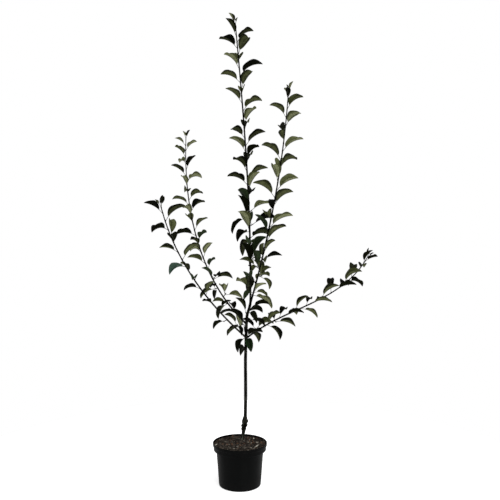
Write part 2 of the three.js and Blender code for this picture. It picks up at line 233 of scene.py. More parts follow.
pot = pot_shape.build("nursery_pot", plastic)
drains = Shape()
drain_ends = [[DRAIN["radius"], -DRAIN["past"]], [DRAIN["radius"], FLOOR + DRAIN["past"]]]
drain = revolved(np.array(drain_ends), DRAIN["sides"])
for turn in 2 * math.pi * np.arange(DRAIN["count"]) / DRAIN["count"]:
    drains.loft(drain + DRAIN["ring"] * np.array([math.cos(turn), math.sin(turn), 0]))
drill = drains.build("drill", plastic)
cut = pot.modifiers.new("drain_holes", "BOOLEAN")
cut.operation = "DIFFERENCE"
cut.solver = "EXACT"
cut.object = drill
drilled = pot.evaluated_get(bpy.context.evaluated_depsgraph_get())
pot.data = bpy.data.meshes.new_from_object(drilled)
pot.modifiers.clear()
bpy.data.objects.remove(drill)
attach(pot, "root")
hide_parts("pot")


# -------------------------------------------------------------------------- the compost
# The compost is a moist peat mix under a loose mulch of composted bark: flat chips from dark to foxy brown,
# with a few pale splinters of wood. It is tipped in and patted down to a watering gap below the rim.
GROUND = 1000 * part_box("compost")[1][2]
SETTLED = 1.2
TRUNK_FOOT = (10, 50)
HEAP = {"height": 3, "radius": 30}
LUMPS = [{"height": 1.6, "breadth": 26, "layer": 0}, {"height": 0.9, "breadth": 7, "layer": 3}]
MULCH_RADIUS = RIM - WALL - 0.5
PEAT_SIDES = 160
PEAT_RINGS = 60


def ground_at(x, y):
    """The compost's height, a shade under the solid's flat top and heaped a little at the trunk."""
    height = GROUND - SETTLED
    height += HEAP["height"] * math.exp(-((math.dist((x, y), TRUNK_FOOT) / HEAP["radius"]) ** 2))
    for lump in LUMPS:
        height += lump["height"] * noise.noise((x / lump["breadth"], y / lump["breadth"], lump["layer"]))
    return height


peat_wall = [
    [FOOT - 9, FLOOR + 0.4], [FOOT - WALL - 0.8, 13], [SHOULDER - WALL - 0.7, COLLAR_FOOT - 1],
    [COLLAR - WALL - 0.6, COLLAR_FOOT + WALL + 0.6], [COLLAR - WALL - 0.6, COLLAR_TOP],
]
peat_top = [[radius, 0] for radius in np.linspace(MULCH_RADIUS, 3, PEAT_RINGS)]
peat_rings = revolved(np.array(peat_wall + peat_top), PEAT_SIDES)
for spot in peat_rings[len(peat_wall):].reshape(-1, 3):
    spot[2] = ground_at(spot[0], spot[1])
peat_shape = Shape()
peat_shape.loft(peat_rings)

peat = Finish("moist_peat", specular_ior_level=0.15)
crumb = peat.grain(420, 7)
peat.wear(
    base_color=peat.mix(peat.above(crumb, 0.35, 0.7), (0.005, 0.004, 0.003), (0.034, 0.024, 0.016)),
    roughness=0.95,
    normal=peat.bump(crumb, 0.0016),
)

CHIPS = 900
CHIP = {
    "least": 4, "most": 17, "steepest": 32, "thickest": 3, "thickness": 0.3, "sink": 0.6, "outermost": 0.97,
}
CHIP_CORNERS = np.radians([0, 60, 120, 180, 240, 300])
CHIP_LAYERS = [(0.75, 0.0), (1.0, 0.4), (0.85, 1.0)]
FOXY_PATCH = {"centre": (-55, -5), "radius": 70, "share": 0.3}
BARE_RADIUS = 8
MULCH_TONES = {
    "dark_bark_mulch": (0.010, 0.0070, 0.0052),
    "grey_bark_mulch": (0.080, 0.064, 0.050),
    "foxy_bark_mulch": (0.130, 0.066, 0.036),
    "weathered_chip": (0.230, 0.205, 0.170),
    "pale_wood_splinter": (0.560, 0.530, 0.450),
}
# Each tone's chips are those drawn under its number here, and the last tone's are the rest.
MULCH_DRAWS = (0.42, 0.83, 0.93, 0.985)
SPLINTERS = [
    {"at": (69, -38), "length": 54, "width": 6, "heading": 61, "tone": "pale_wood_splinter"},
    {"at": (-23, -70), "length": 11, "width": 5, "heading": 20, "tone": "pale_wood_splinter"},
    {"at": (38, -22), "length": 11, "width": 4, "heading": 110, "tone": "weathered_chip"},
    {"at": (47, 2), "length": 9, "width": 4, "heading": 60, "tone": "pale_wood_splinter"},
    {"at": (-44, -18), "length": 9, "width": 5, "heading": 10, "tone": "weathered_chip"},
    {"at": (-18, 50), "length": 44, "width": 6, "heading": 38, "tone": "grey_bark_mulch"},
    {"at": (-8, -38), "length": 10, "width": 4, "heading": 150, "tone": "weathered_chip"},
    {"at": (20, -62), "length": 12, "width": 5, "heading": 30, "tone": "weathered_chip"},
]
SPLINTER = {"lift": 1.4, "thickness": 2.2, "tilt": 3}
draw = np.random.default_rng(11)


def chip(centre, size, thick, turn, tilt):
    """A flake of bark with six ragged sides, half as broad as it is long, lying tilted on the compost."""
    corners = turn + CHIP_CORNERS + draw.uniform(-0.3, 0.3, len(CHIP_CORNERS))
    reach = np.stack([np.cos(corners), np.sin(corners)]) * draw.uniform(0.7, 1.0, len(CHIP_CORNERS))
    long = np.array([math.cos(turn), math.sin(turn)])
    short = np.array([-math.sin(turn), math.cos(turn)])
    flat = np.outer(long @ reach, long) * size / 2 + np.outer(short @ reach, short) * size / 4
    way, slope = tilt
    lean = flat @ np.array([math.cos(way), math.sin(way)]) * math.tan(slope)
    return np.array([
        np.column_stack([centre[:2] + flat * share, centre[2] + lean * share + thick * rise])
        for share, rise in CHIP_LAYERS
    ])


mulch_shape = Shape()
for _ in range(CHIPS):
    radius = MULCH_RADIUS * math.sqrt(draw.random()) * CHIP["outermost"]
    bearing = draw.uniform(0, 2 * math.pi)
    x, y = radius * math.cos(bearing), radius * math.sin(bearing)
    size = CHIP["least"] + (CHIP["most"] - CHIP["least"]) * draw.random() ** 2
    foxy = FOXY_PATCH["share"] * max(0, 1 - math.dist((x, y), FOXY_PATCH["centre"]) / FOXY_PATCH["radius"])
    finish = int(np.searchsorted(MULCH_DRAWS, draw.random() * (1 - foxy) + foxy))
    tilt = (draw.uniform(0, 2 * math.pi), math.radians(CHIP["steepest"]) * draw.random())
    if math.dist((x, y), TRUNK_FOOT) > BARE_RADIUS + size / 2 and radius + size / 2 < MULCH_RADIUS:
        spot = np.array([x, y, ground_at(x, y) - CHIP["sink"]])
        thick = min(CHIP["thickest"], CHIP["thickness"] * size)
        mulch_shape.loft(chip(spot, size, thick, draw.uniform(0, 2 * math.pi), tilt), finish)
for splinter in SPLINTERS:
    x, y = splinter["at"]
    turn = math.radians(splinter["heading"])
    middle = np.array([x, y, ground_at(x, y) + SPLINTER["lift"]])
    tilt = (0, math.radians(SPLINTER["tilt"]))
    flake = chip(middle, splinter["length"], SPLINTER["thickness"], turn, tilt)
    across = np.array([-math.sin(turn), math.cos(turn), 0])
    aside = ((flake - middle) @ across)[..., None] * across
    narrowed = flake - aside * (1 - 2 * splinter["width"] / splinter["length"])
    mulch_shape.loft(narrowed, list(MULCH_TONES).index(splinter["tone"]))

mulch_finishes = []
for name, tone in MULCH_TONES.items():
    bark_flake = Finish(name, specular_ior_level=0.2)
    fibre = bark_flake.grain(500, 5, (1, 0.25, 1))
    shade = [0.45 * channel for channel in tone]
    bark_flake.wear(
        base_color=bark_flake.mix(bark_flake.above(fibre, 0.3, 0.7), shade, tone),
        roughness=0.75 + 0.2 * fibre,
        normal=bark_flake.bump(fibre, 0.0006),
    )
    mulch_finishes.append(bark_flake)
peat_bed = peat_shape.build("compost_bed", peat)
mulch = mulch_shape.build("bark_mulch", *mulch_finishes)
for piece in (peat_bed, mulch):
    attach(piece, "root")
    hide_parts("compost")


# ---------------------------------------------------------------------------- the trunk
# The trunk is a dwarfing rootstock with the apple grafted on it: a knobbly union a hand above the compost,
# a foot that runs out in roots, and smooth dark young bark with raised pores and the rings of old buds.
UP = np.array([0.0, 0.0, 1.0])
CLEARANCE = 0.3
TRUNK_DEPTH = 50
TRUNK_LINE = [
    (10, GROUND + CLEARANCE), (14, 202), (19, 235.5), (22, 265), (23.3, 337), (23.3, 422),
    (22.5, 507), (25, 601), (26.3, 652), (29.2, 699), (37.8, 724), (43.3, 745.5),
]
TRUNK_TOP = TRUNK_LINE[-1][1]
SMOOTHING = (-9, -3, 3, 9)
GIRTH = [(GROUND, 6.6), (196, 6.6), (217, 9.2), (247, 11), (272, 6.6), (746, 5.8)]
UNION = {
    "height": 232, "fall": 26, "lumps": 4.5, "lumps_round": 1.1, "lump_height": 9, "inset": 0.8, "coarse": 2,
}
KNOBS = [
    {"height": 247, "way": 5, "reach": 3.2, "fall": 9},
    {"height": 256, "way": 185, "reach": 2.2, "fall": 9},
    {"height": 228, "way": 200, "reach": 2.4, "fall": 10},
    {"height": 236, "way": 300, "reach": 2.6, "fall": 8},
    {"height": 216, "way": 170, "reach": 2.2, "fall": 7},
]
KNOB_SPREAD = 38
ROOTS = [
    {"way": 200, "reach": 6, "fall": 7},
    {"way": 262, "reach": 3, "fall": 8},
    {"way": 330, "reach": 4, "fall": 6},
    {"way": 35, "reach": 5, "fall": 7},
    {"way": 112, "reach": 4, "fall": 6},
]
ROOT_SPREAD = 24
TRUNK_BUDS = {"gap": 31, "first": 15, "half": 1.6, "swell": 0.35}
TRUNK_SIDES = 60
SUNK = 3
FINE_TOP = 290
FINE_STEP = 0.7
LONG_STEP = 1.5
BARK_DEPTH = 0.4
TRUNK_COARSENESS = 0.6


class Line:
    """A line of wood through points, followed by t from 0 at its foot to 1 at its tip.

    It is older wood up to a certain t, and a shoot with nodes past it.
    """

    def __init__(self, points, radius_at, older=1):
        self.points = np.array(points, float)
        self.length = sum(math.dist(a, b) for a, b in zip(self.points, self.points[1:]))
        self.radius_at = radius_at
        self.older = older
        self.nodes = []

    def at(self, t):
        place = min(max(t, 0), 1) * (len(self.points) - 1)
        i = min(int(place), len(self.points) - 2)
        return self.points[i] + (self.points[i + 1] - self.points[i]) * (place - i)

    def along(self, t):
        half = 0.5 / (len(self.points) - 1)
        return unit(self.at(t + half) - self.at(t - half))

    def dense(self, step):
        """Places along the line, no more than a step apart."""
        count = math.ceil(self.length / step)
        return [self.at(i / count) for i in range(count + 1)]


def around(axis, degrees):
    """The direction square to an axis that is so many degrees round it, from as near +X as it can be."""
    aim = np.array([1.0, 0.0, 0.0]) if abs(axis[0]) < 0.9 else UP
    first = unit(aim - axis * axis.dot(aim))
    second = np.cross(axis, first)
    angle = math.radians(degrees)
    return first * math.cos(angle) + second * math.sin(angle)


def wood_noise(spot, across, along, shift=0):
    """Noise with features of so many millimetres across and along upright wood."""
    x, y, z = spot
    return noise.noise((x / across, y / across, z / along + shift))


def bark_relief(spot, coarse):
    """How far the bark stands out at a place: long shallow ridges, fine grain and raised pores."""
    ridges = 0.45 * wood_noise(spot, across=3, along=24)
    grain = 0.14 * wood_noise(spot, across=1.1, along=3.5)
    pores = 0.9 * max(0, wood_noise(spot, across=2.2, along=1.3, shift=40) - 0.32)
    return coarse * (ridges + grain) + pores


def bud_ring(place, gap, first, half, swell):
    """The low ring that an old bud has left, one in each gap along the wood."""
    return swell * math.exp(-(((place % gap) - first) / half) ** 2)


def trunk_at(height):
    """The trunk line's place at a height, as the solid's rings take it."""
    xs, zs = zip(*TRUNK_LINE)
    return np.array([np.interp(height, zs, xs), TRUNK_DEPTH, height])


def girth_at(height):
    """The trunk's radius at a height: its foot, the thick rootstock, the graft union and the long stem."""
    levels, radii = zip(*GIRTH)
    i = min(max(np.searchsorted(levels, height), 1), len(levels) - 1)
    rise = min(max((height - levels[i - 1]) / (levels[i] - levels[i - 1]), 0), 1)
    return radii[i - 1] + (radii[i] - radii[i - 1]) * rise**2 * (3 - 2 * rise)


def angle_between(first, second):
    """How many degrees lie between two directions round the trunk."""
    return abs((first - second + 180) % 360 - 180)


def knobs_at(level, turn):
    """How far the union's callus knobs stand out."""
    return sum(
        knob["reach"] * math.exp(
            -(((level - knob["height"]) / knob["fall"]) ** 2)
            - (angle_between(turn, knob["way"]) / KNOB_SPREAD) ** 2
        )
        for knob in KNOBS
    )


def roots_at(level, turn):
    """How far the foot runs out in its roots."""
    return sum(
        root["reach"] * math.exp(
            -max(level - GROUND, -2) / root["fall"] - (angle_between(turn, root["way"]) / ROOT_SPREAD) ** 2
        )
        for root in ROOTS
    )


def trunk_ring(level):
    """The bark round the trunk at a height, its centre smoothed over the line's corners."""
    nearby = [trunk_at(min(max(level + away, GROUND), TRUNK_TOP)) for away in SMOOTHING]
    centre = np.mean(nearby, axis=0)
    centre[2] = level
    knobbly = math.exp(-(((level - UNION["height"]) / UNION["fall"]) ** 2))
    ring = []
    for turn in np.arange(TRUNK_SIDES) * 360 / TRUNK_SIDES:
        side = around(UP, turn)
        spot = centre + side * (girth_at(level) + BARK_DEPTH)
        lump_spot = side * UNION["lumps_round"] + UP * level / UNION["lump_height"]
        lumps = knobbly * UNION["lumps"] * noise.noise(lump_spot)
        swelling = lumps + knobs_at(level, turn) - UNION["inset"] * knobbly + roots_at(level, turn)
        skin = bud_ring(level, **TRUNK_BUDS) + bark_relief(spot, TRUNK_COARSENESS + UNION["coarse"] * knobbly)
        ring.append(spot + side * (swelling + skin))
    return ring


trunk_line = Line([(x, TRUNK_DEPTH, z) for x, z in TRUNK_LINE], lambda t: GIRTH[-1][1] + CLEARANCE)
fine_levels = np.arange(GROUND - SUNK, FINE_TOP, FINE_STEP)
trunk_levels = [*fine_levels, *np.arange(FINE_TOP, TRUNK_TOP, LONG_STEP), TRUNK_TOP]
trunk_shape = Shape()
trunk_shape.loft(np.array([trunk_ring(level) for level in trunk_levels]))

bark = Finish("young_apple_bark", specular_ior_level=0.01)
streak = bark.grain(260, 6, (1, 1, 0.12))
mottle = bark.grain(45, 5)
pores = bark.above(bark.grain(520, 1, (1, 1, 2.2)), 0.66, 0.72)
rootstock = 1 - bark.above(bark.height() + 0.03 * mottle, 0.240, 0.290)
foot = 1 - bark.above(bark.height() + 0.02 * mottle, 0.186, 0.208)
weathering = bark.above(mottle * 0.5 + streak * 0.5, 0.47, 0.62)
young = bark.mix(weathering, (0.0008, 0.0008, 0.0005), (0.034, 0.034, 0.026))
stock = bark.mix(bark.above(streak, 0.46, 0.64), (0.0012, 0.0012, 0.0007), (0.042, 0.043, 0.033))
# The foot is the rootstock's own pale grey-green bark, and its tall pale streaks are partly a painted
# highlight.
pale_foot_and_painted_highlight = bark.mix(bark.above(streak, 0.46, 0.62), (0.0060, 0.0060, 0.0045), (0.150, 0.152, 0.125))
bark_colour = bark.mix(foot, bark.mix(rootstock, young, stock), pale_foot_and_painted_highlight)
bark.wear(
    base_color=bark.mix(pores * 0.5, bark_colour, (0.075, 0.068, 0.052)),
    roughness=0.62 + 0.25 * mottle,
    normal=bark.bump(0.7 * streak + 0.3 * pores, 0.0007),
)
trunk = trunk_shape.build("trunk_bark", bark)
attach(trunk, "root")
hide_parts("trunk")


# ---------------------------------------------------------------------- the older limbs
# The limbs are the tree's two- and three-year-old wood: a leader that carries on from the trunk, and four
# side limbs that leave it with a swollen collar and taper, leaning, to where last season's growth starts.
LIMBS = {
    "leader": {
        "foot": 745.5, "length": 1191, "lean": (-0.9, 3.5, 5.3), "turn": 185, "radii": (3.9, 1.8),
        "older": 0.347,
    },
    "right_upper": {
        "foot": 742.5, "length": 895, "lean": (20.8, 14.3, 4.8), "turn": 316, "radii": (3.4, 1.4),
        "older": 0.311,
    },
    "left_inner": {
        "foot": 660.5, "length": 958, "lean": (58.1, 22, -2.8), "turn": 140, "radii": (3.3, 1.3),
        "older": 0.336,
    },
    "left_outer": {
        "foot": 603.1, "length": 682, "lean": (50.8, 37.7, 15.6), "turn": 214, "radii": (3.3, 1.6),
        "older": 0.367,
    },
    "right_low": {
        "foot": 598.9, "length": 710, "lean": (55.7, 68.6, 32.6), "turn": 22.5, "radii": (3.2, 1.6),
        "older": 0.24,
    },
}
LIMB_STEPS = 24
LIMB_TAPER = 0.65
LIMB_SIDES = 24
LIMB_RING_STEP = 1.6
LIMB_COLLAR = {"swell": 1.6, "fall": 9}
LIMB_BUDS = {"gap": 27, "first": 14, "half": 1.5, "swell": 0.45}
LIMB_COARSENESS = 0.55


def through(values, t):
    """A value that passes through three others at its start, middle and end."""
    start, middle, end = values
    return start * (2 * t - 1) * (t - 1) + middle * 4 * t * (1 - t) + end * t * (2 * t - 1)


def grow_limb(foot, length, lean, turn, radii, older):
    """A limb's line, which leans more or less from upright as it grows, in one plane."""
    points = [trunk_at(foot)]
    for i in range(LIMB_STEPS):
        tilt = math.radians(through(lean, (i + 0.5) / LIMB_STEPS))
        out = around(UP, turn) * math.sin(tilt) + UP * math.cos(tilt)
        points.append(points[-1] + out * length / LIMB_STEPS)
    thick, thin = radii
    return Line(points, lambda t: thin + (thick - thin) * (1 - min(t, 1)) ** LIMB_TAPER, older)


def wood_rings(line, first, last, step, sides, girth):
    """Rings along a stretch of wood, where girth gives the radius from the line, t and the place on it."""
    rings = []
    count = math.ceil((last - first) * line.length / step)
    for i in range(count + 1):
        t = first + (last - first) * i / count
        centre, axis = line.at(t), line.along(t)
        ways = [around(axis, 360 * k / sides) for k in range(sides)]
        rings.append([centre + way * girth(line, t, centre + way * line.radius_at(t)) for way in ways])
    return np.array(rings)


def limb_girth(limb, t, spot):
    """A limb's radius, with the collar at its foot and the rings of its old buds."""
    place = t * limb.length
    collar = LIMB_COLLAR["swell"] * math.exp(-place / LIMB_COLLAR["fall"])
    skin = bud_ring(place, **LIMB_BUDS) + bark_relief(spot, LIMB_COARSENESS)
    return limb.radius_at(t) + BARK_DEPTH + collar + skin


limbs = {name: grow_limb(**sizes) for name, sizes in LIMBS.items()}
for name, limb in limbs.items():
    limb_shape = Shape()
    limb_shape.loft(wood_rings(limb, 0, limb.older, LIMB_RING_STEP, LIMB_SIDES, limb_girth))
    piece = limb_shape.build(f"{name}_bark", bark)
    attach(piece, "root")
    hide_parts("leader" if name == "leader" else f"{name}_bough")


# --------------------------------------------------- last season's shoots and the spurs
# A shoot is one straight green-brown twig with a leaf at every node, set two turns to every five, and a
# pointed bud behind each stalk. A spur is a short knuckled twig on older wood that ends in a fat bud.
SHOOTS = {
    "leader": {
        "seed": 6983, "phase": 230, "hand": -1, "first": 4, "gap": 29.5, "spread": 43,
        "lift": 0.38, "size": 1.08, "swell": 0.07,
    },
    "right_upper": {
        "seed": 4567, "phase": 321, "hand": -1, "first": 4, "gap": 32, "spread": 46,
        "lift": 0.45, "size": 1.08, "swell": -0.1,
    },
    "left_inner": {
        "seed": 6123, "phase": 34, "hand": 1, "first": 4, "gap": 29.3, "spread": 53,
        "lift": 0.45, "size": 0.96, "swell": -0.05,
    },
    "left_outer": {
        "seed": 7034, "phase": 16, "hand": 1, "first": 22, "gap": 34.9, "spread": 48,
        "lift": 0.19, "size": 0.93, "swell": 0.31,
    },
    "right_low": {
        "seed": 4843, "phase": 177, "hand": 1, "first": 6, "gap": 27.1, "spread": 43,
        "lift": 0.45, "size": 0.97, "swell": 0.32,
    },
}
SPURS = {
    "leader": {
        "start": 0.03, "end": 0.337, "seed": 6294, "phase": 34, "hand": 1, "gap": 29.3,
        "lift": 0.02, "size": 1.15, "leaves": (1, 3),
    },
    "right_upper": {
        "start": 0.062, "end": 0.3, "seed": 3677, "phase": 272, "hand": -1, "gap": 37.8,
        "lift": 0.3, "size": 0.8, "leaves": (2, 3),
    },
    "left_inner": {
        "start": 0.083, "end": 0.326, "seed": 2417, "phase": 78, "hand": 1, "gap": 47.4,
        "lift": 0.1, "size": 0.81, "leaves": (2, 3),
    },
    "left_outer": {
        "start": 0.102, "end": 0.357, "seed": 4757, "phase": 352, "hand": -1, "gap": 49.2,
        "lift": 0, "size": 0.71, "leaves": (1, 4),
    },
    "right_low": {
        "start": 0.08, "end": 0.23, "seed": 905, "phase": 170, "hand": 1, "gap": 46.2,
        "lift": 0.34, "size": 0.92, "leaves": (2, 3),
    },
    "trunk": {
        "start": 0.597, "end": 0.969, "seed": 432, "phase": 106, "hand": 1, "gap": 26.1,
        "lift": 0.03, "size": 0.91, "leaves": (1, 4),
    },
}
SPUR = {"radius": 1.9, "length": (9, 17), "slant": 0.6, "spread": 50, "bare": 0.5, "leafy": 0.4}
TURN = 144
LEAF = {
    "length": 76, "width": 48, "skew": 0.92, "fullness": 0.65, "stalk": 22, "bend": 0.6, "sunk": 0.5,
    "sag": 4, "arch": 54, "fold": 45,
}
LAST_GAP = 2
SHIFT = {"round": 14, "spread": 9, "pitch": 8, "arch": 16, "fold": 9, "roll": 28, "size": 0.15, "gap": 0.12}
YOUNG = {"share": 0.14, "spread": 0.4, "size": 0.5, "arch": 0.55, "gap": 0.6, "fold": 12}
TEST_SHARES = (0.06, 0.18, 0.3, 0.42, 0.54, 0.66, 0.78, 0.9)
LEAF_SPACE = 7.5
WOOD_SPACE = 6.5
SPUR_SPACE = 8
WOOD_STEP = 6


class Dice:
    """One fixed run of throws for each seed."""

    def __init__(self, seed):
        self.state = seed
        for _ in range(3):
            self.roll()

    def roll(self):
        self.state = self.state * 16807 % 2147483647
        return self.state / 2147483647

    def spread(self, half):
        return (self.roll() * 2 - 1) * half


def leaf_pose(root, aim, drop, size, arch, fold, roll):
    """A leaf by its stalk's root and its aim, how far it droops, its size, and its arch, fold and roll."""
    return {
        "root": root, "heading": math.atan2(aim[1], aim[0]), "pitch": math.degrees(math.asin(aim[2])) - drop,
        "size": size, "arch": arch, "fold": math.radians(fold), "roll": roll,
    }


def throw_leaf(dice, root, axis, side, spread, lift, size, young):
    """A leaf's place and pose. A young one is smaller, steeper, straighter and more folded."""
    tilt = math.radians((spread + dice.spread(SHIFT["spread"])) * (1 - YOUNG["spread"] * young))
    return leaf_pose(
        root,
        aim=unit(axis * math.cos(tilt) + side * math.sin(tilt) + UP * lift),
        drop=LEAF["sag"] - dice.spread(SHIFT["pitch"]),
        size=size * (1 + dice.spread(SHIFT["size"])) * (1 - YOUNG["size"] * young),
        arch=(LEAF["arch"] + dice.spread(SHIFT["arch"])) * (1 - YOUNG["arch"] * young),
        fold=LEAF["fold"] + dice.spread(SHIFT["fold"]) + YOUNG["fold"] * young,
        roll=dice.spread(SHIFT["roll"]),
    )


def half_width(share, size):
    """Half of a blade's width at a share of its length."""
    if not 0 < share < 1:
        return 0
    return math.sin(math.pi * share ** LEAF["skew"]) ** LEAF["fullness"] * LEAF["width"] * size / 2


def midrib(leaf, stalk_shares, blade_shares):
    """The places along a leaf, and the directions to its side and up there."""
    length = LEAF["length"] * leaf["size"]
    stalk = LEAF["stalk"] * (0.5 + 0.5 * leaf["size"])
    bend = LEAF["bend"] * stalk
    heading = leaf["heading"]
    level = np.array([-math.sin(heading), math.cos(heading), 0])

    def aim_at(s):
        angle = math.radians(leaf["pitch"] - leaf["arch"] * max(0, s - bend) / (stalk + length - bend))
        flat = math.cos(angle)
        return np.array([flat * math.cos(heading), flat * math.sin(heading), math.sin(angle)])

    centre, last, stations = leaf["root"], 0, []
    stalk_places = [stalk * share for share in stalk_shares]
    blade_places = [stalk + length * share for share in blade_shares]
    for s in stalk_places + blade_places:
        centre = centre + aim_at((s + last) / 2) * (s - last)
        last, aim = s, aim_at(s)
        turn = math.radians(leaf["roll"] * min(1, s / stalk))
        side = level * math.cos(turn) + np.cross(aim, level) * math.sin(turn)
        stations.append((centre, side, np.cross(aim, side)))
    return [np.array(column) for column in zip(*stations)]


taken_wood = []
taken_leaves = []


def has_room(points, others, space):
    """Whether the points all keep their distance from the others."""
    if not others:
        return True
    others = np.array(others)
    return all(np.min(np.linalg.norm(others - point, axis=1)) >= space for point in points)


def grow_leaves(leaves):
    """The leaves that find room, clear of the wood and of those grown before them."""
    kept = []
    for leaf in leaves:
        centres, sides, ups = midrib(leaf, (0, 1), (*TEST_SHARES, 1))
        points = [centres[1], centres[-1]]
        for centre, side, up, share in zip(centres[2:], sides[2:], ups[2:], TEST_SHARES):
            half = half_width(share, leaf["size"])
            across, rise = math.cos(leaf["fold"]) * half, math.sin(leaf["fold"]) * half
            points += [centre + side * across * p + up * rise * abs(p) for p in (-1, -0.5, 0, 0.5, 1)]
        if has_room(points, taken_wood, WOOD_SPACE) and has_room(points, taken_leaves, LEAF_SPACE):
            taken_leaves.extend(points)
            kept.append(leaf)
    return kept


def shoot_leaves(limb, seed, phase, hand, first, gap, spread, lift, size, swell):
    """The leaves of a shoot, each with its node's t and side, and the young ones in its last stretch."""
    dice = Dice(seed)
    length = limb.length * (1 - limb.older)
    leaves = []
    s = first
    while s < length - LAST_GAP:
        share = s / length
        t = limb.older + (1 - limb.older) * share
        young = max(0, 1 - (1 - share) / YOUNG["share"])
        axis = limb.along(t)
        side = around(axis, phase + hand * TURN * len(leaves) + dice.spread(SHIFT["round"]))
        root = limb.at(t) + side * limb.radius_at(t) * LEAF["sunk"]
        leaf = throw_leaf(dice, root, axis, side, spread, lift, size * (1 + swell * (share - 0.5)), young)
        leaves.append(leaf | {"node": t, "side": side})
        s += gap * (1 + dice.spread(SHIFT["gap"])) * (1 - YOUNG["gap"] * young)
    return leaves


def grow_spurs(wood, start, end, seed, phase, hand, gap, lift, size, leaves):
    """The spurs along a stretch of older wood, each with its stem's ends and its leaves."""
    dice = Dice(seed)
    fewest, most = leaves
    shortest, longest = SPUR["length"]
    spurs = []
    s = 0
    while s < wood.length * (end - start):
        t = start + s / wood.length
        side = around(wood.along(t), phase + hand * TURN * len(spurs) + dice.spread(SHIFT["round"]))
        axis = unit(side + wood.along(t) * SPUR["slant"])
        count = fewest + int(dice.roll() * (most - fewest + 1))
        length = shortest + (longest - shortest) * dice.roll()
        turn = dice.roll() * 360
        foot = wood.at(t) + side * wood.radius_at(t)
        thrown = []
        for k in range(count):
            root = foot + axis * length * (SPUR["bare"] + SPUR["leafy"] * k / count)
            leaf_side = around(axis, turn + hand * TURN * k + dice.spread(SHIFT["round"]))
            thrown.append(throw_leaf(dice, root, axis, leaf_side, SPUR["spread"], lift, size, 0))
        spurs.append((wood.at(t), foot + axis * length, thrown))
        s += gap * (1 + dice.spread(SHIFT["gap"]))
    return spurs


TWIG_TONES = {
    "shoot_brown": ((0.0008, 0.0007, 0.0005), (0.0040, 0.0036, 0.0026)),
    "shoot_olive": ((0.0012, 0.0012, 0.0008), (0.0060, 0.0060, 0.0042)),
    "shoot_tip_down": ((0.0060, 0.0062, 0.0050), (0.0300, 0.0310, 0.0260)),
    "bud_scale": ((0.0030, 0.0022, 0.0016), (0.0200, 0.0150, 0.0110)),
}
SHOOT_TONE_ENDS = (0.55, 0.88)
BUD_TONE = list(TWIG_TONES).index("bud_scale")
BUD_GIRTHS = np.array([0.75, 1, 0.95, 0.7, 0.35, 0.06])
BUD_RISES = np.array([-0.1, 0.2, 0.45, 0.7, 0.9, 1])
BUD_SIDES = 8
SIDE_BUD = {"length": 4.2, "radius": 1.3}
SIDE_BUD_SEAT = {"out": 0.7, "up": 2.2, "slant": 0.45}
SPUR_BUD = {"length": 6, "radius": 2.3}
TWIG_SIDES = 12
SHOOT_RING_STEP = 2.0
SHOOT_KNUCKLE = {"swell": 0.55, "half": 2.2}
SHOOT_RELIEF = {"share": 0.35, "coarse": 0.4}
SPUR_RING_STEP = 0.8
SPUR_KNUCKLES = {"girth": 0.86, "swell": 0.1, "turns": 2.4}
SPUR_RELIEF = {"share": 0.4, "coarse": 0.5}
GROWING_POINT = {"at": 0.997, "slant": 0.4, "arch": 10, "fold": 66}
GROWING_LEAVES = [(0, 0.42), (165, 0.3), (80, 0.16)]


def bud(root, way, length, radius):
    """A pointed bud: rings that swell from its foot and close to its tip."""
    ways = np.array([around(way, 360 * k / BUD_SIDES) for k in range(BUD_SIDES)])
    return np.array([
        root + way * up + ways * out for up, out in zip(BUD_RISES * length, BUD_GIRTHS * radius)
    ])


def shoot_girth(limb, t, spot):
    """A shoot's radius, with a knuckle under each leaf."""
    knuckles = sum(
        SHOOT_KNUCKLE["swell"] * math.exp(-(((t - node) * limb.length / SHOOT_KNUCKLE["half"]) ** 2))
        for node in limb.nodes
    )
    relief = SHOOT_RELIEF["share"] * bark_relief(spot, SHOOT_RELIEF["coarse"])
    return limb.radius_at(t) + BARK_DEPTH + knuckles + relief


def spur_girth(stem, t, spot):
    """A spur's radius, with the close rings of its short years."""
    rings = SPUR_KNUCKLES["swell"] * math.sin(t * stem.length * SPUR_KNUCKLES["turns"])
    relief = SPUR_RELIEF["share"] * bark_relief(spot, SPUR_RELIEF["coarse"])
    return stem.radius_at(t) * (SPUR_KNUCKLES["girth"] + rings) + relief


wood = {**limbs, "trunk": trunk_line}
for line in wood.values():
    taken_wood.extend(line.dense(WOOD_STEP))
leaves_on = {name: [] for name in wood}
twigs_on = {name: Shape() for name in wood}

for name, limb in limbs.items():
    tip, tip_way = limb.at(GROWING_POINT["at"]), limb.along(1)
    for turn, size in GROWING_LEAVES:
        side = around(tip_way, SHOOTS[name]["phase"] + turn)
        aim = unit(tip_way + side * GROWING_POINT["slant"])
        leaves_on[name].append(leaf_pose(tip, aim, 0, size, GROWING_POINT["arch"], GROWING_POINT["fold"], 0))
    leaves = grow_leaves(shoot_leaves(limb, **SHOOTS[name]))
    leaves_on[name] += leaves
    limb.nodes = [leaf["node"] for leaf in leaves]
    rings = wood_rings(limb, limb.older, 1, SHOOT_RING_STEP, TWIG_SIDES, shoot_girth)
    tones = np.searchsorted(SHOOT_TONE_ENDS, np.linspace(0, 1, len(rings) - 1))
    twigs_on[name].loft(rings, tones[:, None])
    for leaf in leaves:
        axis = limb.along(leaf["node"])
        out = leaf["side"] * limb.radius_at(leaf["node"]) * SIDE_BUD_SEAT["out"]
        seat = limb.at(leaf["node"]) + out + axis * SIDE_BUD_SEAT["up"]
        way = unit(axis + leaf["side"] * SIDE_BUD_SEAT["slant"])
        twigs_on[name].loft(bud(seat, way, **SIDE_BUD), BUD_TONE)

